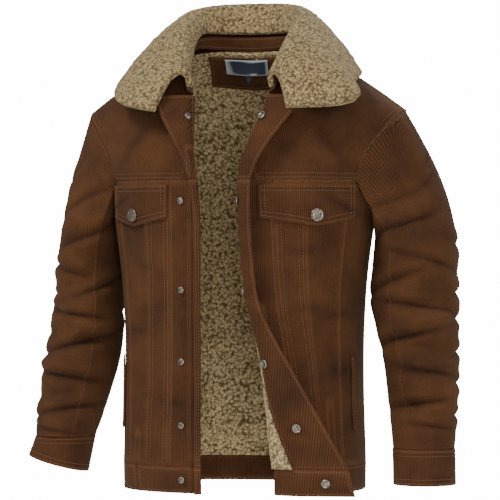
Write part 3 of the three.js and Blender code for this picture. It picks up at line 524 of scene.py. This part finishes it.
def make_corduroy(name):
    piece = refined(name, FINE if name.startswith(("sleeve", "front_yoke")) else MIDDLE)
    mesh = piece.data
    points = coordinates(mesh)
    places = wale_place(points, name)
    write_attribute(mesh, "wear", rim_vertices(mesh) * WEAR)
    points, deepness = crease(points, name)
    # Painted shade: darker in the creases and ripple hollows, paler on the swells.
    write_attribute(mesh, "crease_shade", np.clip(0.5 + 0.5 * deepness, 0, 1))
    write_coordinates(mesh, points)
    write_wales(mesh, places)
    return piece


# Curled pile: every point stands out by how near it is to the middle of a curl
PILE_HEIGHT = {"collar_top": 0.0030}
LINING_HEIGHT = 0.0018
SEAM_COVER = 0.0008
PILE_LEVELS = {"collar_top": 3, "lining_back": 4}
CURL_TOP = 1.05
CURL_SLOPE = 1.25
SWIRL_SIZE = PILE_STEP * 0.55
SWIRL = 0.22
PILE_MEAN = 0.45


def curl_height(point):
    spread = noise.voronoi(point / PILE_STEP)[0]
    swirl = noise.noise(point / SWIRL_SIZE) * SWIRL
    return max(0.0, min(1.0, CURL_TOP - spread[0] * CURL_SLOPE + swirl))


def make_pile(name):
    piece = refined(name, PILE_LEVELS.get(name, MIDDLE + 1))
    mesh = piece.data
    points = crease(coordinates(mesh), name)[0]
    heights = np.array([curl_height(Vector(p)) for p in points])
    normals = np.empty(len(mesh.vertices) * 3)
    mesh.vertices.foreach_get("normal", normals)
    stand = (heights - PILE_MEAN) * PILE_HEIGHT.get(name, LINING_HEIGHT)
    stand = np.maximum(stand, rim_vertices(mesh) * SEAM_COVER)
    write_attribute(mesh, "pile", heights)
    write_coordinates(mesh, points + normals.reshape(-1, 3) * stand[:, None])
    return piece


# Bare woven labels: only the neck label has the plain pale border
LABEL_MARGIN = 0.0022
LABEL_BORDER = {"neck_label": 0.85}


def make_label(name):
    piece = refined(name, MIDDLE)
    points = coordinates(piece.data)
    low, high = points.min(axis=0), points.max(axis=0)
    inside = np.ones(len(points), dtype=bool)
    for axis in (0, 2):
        inside &= points[:, axis] > low[axis] + LABEL_MARGIN
        inside &= points[:, axis] < high[axis] - LABEL_MARGIN
    write_attribute(piece.data, "border", np.where(inside, 0.0, LABEL_BORDER.get(name, 0.0)))
    write_coordinates(piece.data, crease(points, name)[0])
    return piece


def make_metal(name):
    mesh = welded(name)
    for face in mesh.faces:
        face.smooth = True
    piece = rounded(mesh, name + "_metal", MIDDLE)
    write_coordinates(piece.data, crease(coordinates(piece.data), name)[0])
    return piece


# Topstitching: rows that follow the edges of the shell pieces. A row breaks where its edge turns by
# more than SHARP_TURN allows, as a cosine, and the thread is sunk by part of its radius
SHARP_TURN = 0.75
THREAD_PROUD = 0.4
LEAST_POINTS = 3
STEEP = 0.6


def edge_loops(mesh):
    """Chains of vertices along the rims, with the broad face's direction and the way inward."""
    rim = {}
    for face in mesh.polygons:
        for key in face.edge_keys:
            rim.setdefault(key, []).append(face)
    neighbours, broad = {}, {}
    for key, faces in rim.items():
        if len(faces) == 2 and faces[0].material_index != faces[1].material_index:
            face = faces[0] if faces[0].material_index == 0 else faces[1]
            for a, b in (key, key[::-1]):
                neighbours.setdefault(a, []).append(b)
                broad.setdefault(a, []).append(face)
    seen, loops = set(), []
    for start in neighbours:
        if start in seen:
            continue
        chain, at = [], start
        while at is not None:
            seen.add(at)
            chain.append(at)
            at = next((n for n in neighbours[at] if n not in seen), None)
        loops.append(chain)
    return loops, broad


def stitch_rows(piece, insets, keep):
    mesh = piece.data
    rows = []
    loops, broad = edge_loops(mesh)
    for chain in loops:
        for inset in insets:
            row = []
            for i, v in enumerate(chain):
                here = mesh.vertices[v].co
                after = mesh.vertices[chain[(i + 1) % len(chain)]].co
                before = mesh.vertices[chain[i - 1]].co
                out = sum((f.normal for f in broad[v]), Vector()).normalized()
                middle = sum((f.center for f in broad[v]), Vector()) / len(broad[v])
                along = (after - before).normalized()
                inward = out.cross(along).normalized()
                if inward.dot(middle - here) < 0:
                    inward = -inward
                corner = (after - here).normalized().dot((here - before).normalized()) < SHARP_TURN
                if corner or not keep(here, out, along):
                    if len(row) >= LEAST_POINTS:
                        rows.append(row)
                    row = []
                    continue
                row.append(here + inward * inset + out * STITCH_RADIUS * THREAD_PROUD)
            if len(row) >= LEAST_POINTS:
                rows.append(row)
    return rows


def stitch_tree():
    tree = bpy.data.node_groups.new("topstitching", "GeometryNodeTree")
    face = tree.interface
    face.new_socket(name="Geometry", in_out="INPUT", socket_type="NodeSocketGeometry")
    sizes = {"Pitch": STITCH_PITCH, "Stitch length": STITCH_LENGTH, "Thread radius": STITCH_RADIUS}
    for name, value in sizes.items():
        face.new_socket(name=name, in_out="INPUT", socket_type="NodeSocketFloat").default_value = value
    face.new_socket(name="Geometry", in_out="OUTPUT", socket_type="NodeSocketGeometry")
    inputs = add_node(tree, "NodeGroupInput").outputs
    points = add_node(
        tree, "GeometryNodeCurveToPoints",
        {"Curve": inputs["Geometry"], "Length": inputs["Pitch"]}, mode="LENGTH")
    stitch = add_node(tree, "GeometryNodeMeshCylinder",
                      {"Radius": inputs["Thread radius"], "Depth": inputs["Stitch length"]}, Vertices=5)
    placed = add_node(tree, "GeometryNodeInstanceOnPoints", {
        "Points": points.outputs["Points"], "Instance": stitch.outputs["Mesh"],
        "Rotation": points.outputs["Rotation"]})
    real = add_node(tree, "GeometryNodeRealizeInstances", {"Geometry": placed.outputs["Instances"]})
    dressed = add_node(tree, "GeometryNodeSetMaterial", {"Geometry": real.outputs["Geometry"]})
    dressed.inputs["Material"].default_value = THREAD
    ends = add_node(tree, "NodeGroupOutput")
    tree.links.new(dressed.outputs["Geometry"], ends.inputs["Geometry"])
    return tree


def sew(name, rows):
    data = bpy.data.curves.new(name, "CURVE")
    data.dimensions = "3D"
    for row in rows:
        spline = data.splines.new("POLY")
        spline.points.add(len(row) - 1)
        for point, place in zip(spline.points, row):
            point.co = (*place, 1.0)
    path = bpy.data.objects.new(name + "_path", data)
    bpy.context.collection.objects.link(path)
    maker = path.modifiers.new("stitches", "NODES")
    maker.node_group = STITCHES
    made = bpy.data.meshes.new_from_object(path.evaluated_get(bpy.context.evaluated_depsgraph_get()))
    bpy.data.objects.remove(path)
    made.polygons.foreach_set("use_smooth", [True] * len(made.polygons))
    piece = bpy.data.objects.new(name, made)
    bpy.context.collection.objects.link(piece)
    set_material(piece, THREAD)
    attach(piece, "root")
    return piece


STITCHES = stitch_tree()
ROWS = []


# Which parts of an edge carry a row: each is asked with a place, the way out and the way along
def seen_outside(here, out, along):
    return out.x * here.x * 0.6 + out.y * here.y > 0 or out.y < -0.5


def anywhere(here, out, along):
    return True


def level(here, out, along):
    return abs(along.z) < STEEP and seen_outside(here, out, along)


def upright(here, out, along):
    return abs(along.z) > STEEP and seen_outside(here, out, along)


TOPSTITCH = [
    ("front_inner_panel", (SEAM_INSET, SECOND_ROW), upright), ("front_side_panel", (SEAM_INSET,), upright),
    ("front_placket", (SEAM_INSET,), upright), ("facing_", (SEAM_INSET,), anywhere),
    ("lapel_facing", (SEAM_INSET,), anywhere), ("front_yoke", (SEAM_INSET, SECOND_ROW), level),
    ("pocket_flap", (SEAM_INSET, SECOND_ROW), seen_outside), ("waistband", (SEAM_INSET,), anywhere),
    ("back_yoke", (SEAM_INSET, SECOND_ROW), level), ("neck_patch", (SEAM_INSET,), anywhere),
    ("cuff", (SEAM_INSET, SECOND_ROW), anywhere), ("pocket_welt", (WELT_INSET,), seen_outside),
    ("collar_stand", (SEAM_INSET,), anywhere),
]

for name in CORDUROY:
    piece = make_corduroy(name)
    for start, insets, keep in TOPSTITCH:
        if name.startswith(start):
            ROWS.extend(stitch_rows(piece, insets, keep))
    set_material(piece, CLOTH)
    declare(piece, name)
sew("topstitching", ROWS)

for name in SHERPA:
    piece = make_pile(name)
    set_material(piece, COLLAR_PILE if name == "collar_top" else LINING_PILE)
    declare(piece, name)

for name in LABELS:
    piece = make_label(name)
    set_material(piece, LABEL)
    declare(piece, name)

for name in METAL:
    piece = make_metal(name)
    ring = name.startswith("snap_ring")
    set_material(piece, RING_METAL if ring else STUD_METAL)
    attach(piece, "root")
    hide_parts(name)


# Studio: pale floor, soft light, camera at the height of the middle of the jacket
FLOOR_SIZE = 12
FLOOR_DROP = 0.6
BACKDROP_FAR = 12.0
BACKDROP_SIZE = 3.3
BACKDROP_GLOW = 14.0
ROOM_GLOW = 0.55
LAMPS = [  # name, place, width, power
    ("key", (-1.5, -2.0, 2.3), 1.1, 84), ("fill", (2.4, -2.2, 0.4), 2.0, 24),
    ("front", (0.9, -3.6, -0.1), 1.2, 52), ("rim", (0.6, 2.4, 1.6), 1.6, 40),
]
PIXELS = 500
PIXEL_SIZE = 0.0015
CAMERA_DISTANCE = 4.2
CAMERA_TURN = math.radians(11)
CAMERA_HEIGHT = -0.300
FRAME_SHIFT = 0.0075
SENSOR = 36


def matte(name, code):
    material, _, shader = new_material(name)
    shader.inputs["Base Color"].default_value = tint(code)
    shader.inputs["Roughness"].default_value = 0.9
    return material


def make_studio():
    bpy.ops.mesh.primitive_plane_add(size=FLOOR_SIZE, location=(0, 0, cad_box[0][2] - FLOOR_DROP))
    floor = bpy.context.object
    floor.name = "floor"
    floor.data.materials.append(matte("painted_studio_floor", "#f4f3f1"))
    bpy.ops.mesh.primitive_plane_add(size=BACKDROP_SIZE, rotation=(math.pi / 2, 0, CAMERA_TURN), location=(
        -math.sin(CAMERA_TURN) * BACKDROP_FAR, math.cos(CAMERA_TURN) * BACKDROP_FAR, CAMERA_HEIGHT))
    backdrop = bpy.context.object
    backdrop.name = "backdrop"
    glow = matte("lit_paper_backdrop", "#ffffff")
    shader = glow.node_tree.nodes["Principled BSDF"]
    shader.inputs["Emission Color"].default_value = tint("#ffffff")
    shader.inputs["Emission Strength"].default_value = BACKDROP_GLOW
    backdrop.data.materials.append(glow)
    world = bpy.data.worlds.new("studio")
    bpy.context.scene.world = world
    world.use_nodes = True
    sky = world.node_tree.nodes["Background"]
    sky.inputs["Color"].default_value = tint("#f5f5f5")
    sky.inputs["Strength"].default_value = ROOM_GLOW
    for name, place, size, power in LAMPS:
        light = bpy.data.lights.new(name, "AREA")
        light.size = size
        light.energy = power
        lamp = bpy.data.objects.new(name, light)
        lamp.location = place
        aim = Vector((0, 0, CAMERA_HEIGHT)) - Vector(place)
        lamp.rotation_euler = aim.to_track_quat("-Z", "Y").to_euler()
        bpy.context.collection.objects.link(lamp)


def make_camera():
    data = bpy.data.cameras.new("camera")
    data.sensor_width = SENSOR
    data.sensor_fit = "HORIZONTAL"
    data.lens = SENSOR * CAMERA_DISTANCE / (PIXELS * PIXEL_SIZE)
    camera = bpy.data.objects.new("camera", data)
    right = Vector((math.cos(CAMERA_TURN), math.sin(CAMERA_TURN), 0))
    back = Vector((math.sin(CAMERA_TURN), -math.cos(CAMERA_TURN), 0))
    middle = right * FRAME_SHIFT + Vector((0, 0, CAMERA_HEIGHT))
    camera.location = middle + back * CAMERA_DISTANCE
    camera.rotation_euler = (-back).to_track_quat("-Z", "Y").to_euler()
    bpy.context.collection.objects.link(camera)
    bpy.context.scene.camera = camera


make_studio()
make_camera()
